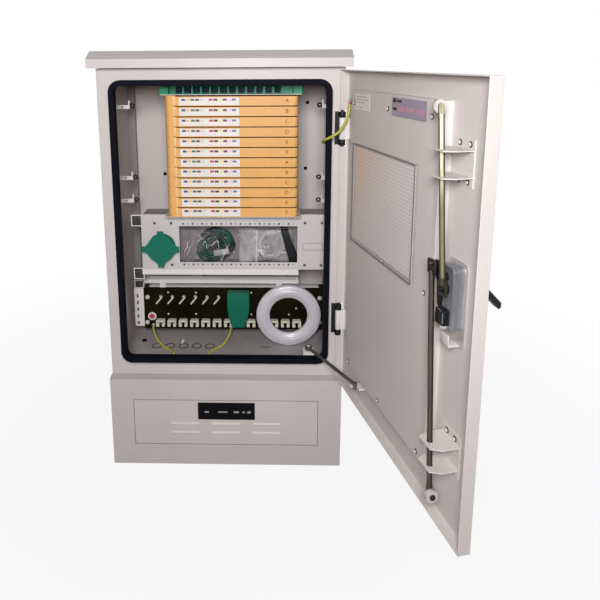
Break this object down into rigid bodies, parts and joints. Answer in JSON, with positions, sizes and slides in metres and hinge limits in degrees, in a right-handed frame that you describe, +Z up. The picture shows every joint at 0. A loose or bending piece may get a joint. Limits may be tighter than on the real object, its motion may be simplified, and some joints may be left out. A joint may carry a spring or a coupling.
{
  "type": "fibre distribution cabinet",
  "caption": "Roadside sheet-steel cabinet on a plinth, with an open hinged door with rod lock, swing-out splice trays, storage panel and cable clamp panel.",
  "frame": {"origin": "centre of the anchor bolt pattern on the underside of the plinth", "axes": "+X to the viewer's right, +Y into the cabinet from the door side, +Z up"},
  "size_m": [0.782, 0.8766, 1.043],
  "materials": {
    "cabinet_paint": "light warm grey powder coat",
    "inner_paint": "light grey powder coat",
    "white_paint": "white powder coat",
    "olive_paint": "near-black olive paint",
    "black_paint": "black coat",
    "gasket_rubber": "black rubber",
    "zinc_steel": "yellow-passivated zinc",
    "bright_steel": "plain zinc",
    "lock_zinc": "grey-blue die casting",
    "dark_steel": "dark zinc",
    "tray_plastic": "orange moulding",
    "green_plastic": "dark green moulding",
    "adapter_plastic": "blue-black moulding",
    "cream_plastic": "cream moulding",
    "white_plastic": "white moulding",
    "tube_plastic": "milky tube",
    "film_plastic": "clear film",
    "clear_plastic": "clear sheet",
    "earth_sleeve": "yellow-green sleeve",
    "nylon": "natural nylon"
  },
  "bodies": {
    "cabinet": {"plinth_frame": "cabinet_paint", "plinth_cover": "cabinet_paint", "left_side_panel": "cabinet_paint", "right_side_panel": "cabinet_paint", "back_panel": "cabinet_paint", "floor_plate": "inner_paint", "top_plate": "cabinet_paint", "front_frame": "cabinet_paint", "door_gasket": "gasket_rubber", "roof_cap": "cabinet_paint", "corner_channels": "inner_paint", "rack_posts": "inner_paint", "cable_guides": "white_plastic", "tray_rack": "inner_paint", "tray_pivot_rod": "bright_steel", "adapter_frame": "green_plastic", "fibre_adapters": "adapter_plastic", "storage_panel": "inner_paint", "storage_box": "inner_paint", "slack_spool": "green_plastic", "accessory_bag_left": "film_plastic", "accessory_bag_right": "film_plastic", "cross_rail": "white_paint", "clamp_panel": "olive_paint", "clamp_brackets": "white_paint", "cable_rail": "white_paint", "cable_hooks": "cream_plastic", "cable_clamps": "cream_plastic", "cable_sleeve": "green_plastic", "tube_roll": "tube_plastic", "earth_wires": "earth_sleeve", "stay_bracket": "dark_steel", "hinge_frame_leaves": "black_paint", "door_earth_strap": "earth_sleeve"},
    "door": {"door_shell": "cabinet_paint", "door_inner_panel": "cabinet_paint", "hinge_door_leaves": "white_paint", "document_pocket": "clear_plastic", "rod_guides": "cabinet_paint", "lock_case": "lock_zinc", "stay_door_tab": "bright_steel"},
    "swing_tray_01": {"splice_tray_01": "tray_plastic"},
    "swing_tray_02": {"splice_tray_02": "tray_plastic"},
    "swing_tray_03": {"splice_tray_03": "tray_plastic"},
    "swing_tray_04": {"splice_tray_04": "tray_plastic"},
    "swing_tray_05": {"splice_tray_05": "tray_plastic"},
    "swing_tray_06": {"splice_tray_06": "tray_plastic"},
    "swing_tray_07": {"splice_tray_07": "tray_plastic"},
    "swing_tray_08": {"splice_tray_08": "tray_plastic"},
    "swing_tray_09": {"splice_tray_09": "tray_plastic"},
    "swing_tray_10": {"splice_tray_10": "tray_plastic"},
    "swing_tray_11": {"splice_tray_11": "tray_plastic"},
    "swing_tray_12": {"splice_tray_12": "tray_plastic"},
    "upper_rod_body": {"upper_rod": "zinc_steel"},
    "lower_rod_body": {"lower_rod": "zinc_steel"},
    "upper_roller_body": {"upper_roller": "nylon"},
    "lower_roller_body": {"lower_roller": "nylon"},
    "lock_cam_body": {"lock_cam": "black_paint"},
    "swing_handle_body": {"swing_handle": "black_paint"},
    "stay_rod_body": {"stay_rod": "dark_steel"}
  },
  "joints": [
    {"name": "door_hinge", "type": "hinge", "parent": "cabinet", "child": "door", "pos_m": [0.278, -0.164, 0.625], "axis": [0, 0, 1], "range_deg": [-104, 0], "deforming": ["door_earth_strap"]},
    {"name": "tray_01_swing", "type": "hinge", "parent": "cabinet", "child": "swing_tray_01", "pos_m": [-0.128, -0.082, 0.926], "axis": [0, 0, -1], "range_deg": [0, 85]},
    {"name": "tray_02_swing", "type": "hinge", "parent": "cabinet", "child": "swing_tray_02", "pos_m": [-0.128, -0.082, 0.901], "axis": [0, 0, -1], "range_deg": [0, 85]},
    {"name": "tray_03_swing", "type": "hinge", "parent": "cabinet", "child": "swing_tray_03", "pos_m": [-0.128, -0.082, 0.876], "axis": [0, 0, -1], "range_deg": [0, 85]},
    {"name": "tray_04_swing", "type": "hinge", "parent": "cabinet", "child": "swing_tray_04", "pos_m": [-0.128, -0.082, 0.851], "axis": [0, 0, -1], "range_deg": [0, 85]},
    {"name": "tray_05_swing", "type": "hinge", "parent": "cabinet", "child": "swing_tray_05", "pos_m": [-0.128, -0.082, 0.826], "axis": [0, 0, -1], "range_deg": [0, 85]},
    {"name": "tray_06_swing", "type": "hinge", "parent": "cabinet", "child": "swing_tray_06", "pos_m": [-0.128, -0.082, 0.801], "axis": [0, 0, -1], "range_deg": [0, 85]},
    {"name": "tray_07_swing", "type": "hinge", "parent": "cabinet", "child": "swing_tray_07", "pos_m": [-0.128, -0.082, 0.776], "axis": [0, 0, -1], "range_deg": [0, 85]},
    {"name": "tray_08_swing", "type": "hinge", "parent": "cabinet", "child": "swing_tray_08", "pos_m": [-0.128, -0.082, 0.751], "axis": [0, 0, -1], "range_deg": [0, 85]},
    {"name": "tray_09_swing", "type": "hinge", "parent": "cabinet", "child": "swing_tray_09", "pos_m": [-0.128, -0.082, 0.726], "axis": [0, 0, -1], "range_deg": [0, 85]},
    {"name": "tray_10_swing", "type": "hinge", "parent": "cabinet", "child": "swing_tray_10", "pos_m": [-0.128, -0.082, 0.701], "axis": [0, 0, -1], "range_deg": [0, 85]},
    {"name": "tray_11_swing", "type": "hinge", "parent": "cabinet", "child": "swing_tray_11", "pos_m": [-0.128, -0.082, 0.676], "axis": [0, 0, -1], "range_deg": [0, 85]},
    {"name": "tray_12_swing", "type": "hinge", "parent": "cabinet", "child": "swing_tray_12", "pos_m": [-0.128, -0.082, 0.651], "axis": [0, 0, -1], "range_deg": [0, 85]},
    {"name": "lock_turn", "type": "hinge", "parent": "door", "child": "lock_cam_body", "pos_m": [0.37253, -0.63822, 0.688], "axis": [-0.9703, -0.2419, 0], "range_deg": [0, 90]},
    {"name": "upper_rod_slide", "type": "slide", "parent": "door", "child": "upper_rod_body", "axis": [-0.027, 0.1082, 0.9938], "range_m": [0, 0.0283]},
    {"name": "lower_rod_slide", "type": "slide", "parent": "door", "child": "lower_rod_body", "axis": [0.019, -0.0761, -0.9969], "range_m": [0, 0.0284]},
    {"name": "upper_roller_spin", "type": "hinge", "parent": "upper_rod_body", "child": "upper_roller_body", "pos_m": [0.3679, -0.61965, 0.9505], "axis": [-0.2404, 0.9642, -0.1115], "continuous": true},
    {"name": "lower_roller_spin", "type": "hinge", "parent": "lower_rod_body", "child": "lower_roller_body", "pos_m": [0.37712, -0.65662, 0.31634], "axis": [0.2412, -0.9673, 0.0785], "continuous": true},
    {"name": "handle_lift", "type": "hinge", "parent": "lock_cam_body", "child": "swing_handle_body", "pos_m": [0.42493, -0.62515, 0.688], "axis": [0.2419, -0.9703, 0], "range_deg": [-45, 30]},
    {"name": "stay_swing", "type": "hinge", "parent": "cabinet", "child": "stay_rod_body", "pos_m": [0.209, -0.14, 0.312], "axis": [0, 0, 1], "range_deg": [-150, 0]}
  ],
  "couplings": [
    {"joint": "upper_rod_slide", "follows": "lock_turn", "m_per_rad": 0.017894},
    {"joint": "lower_rod_slide", "follows": "lock_turn", "m_per_rad": 0.017951},
    {"joint": "stay_swing", "follows": "door_hinge", "ratio": 1.427}
  ]
}
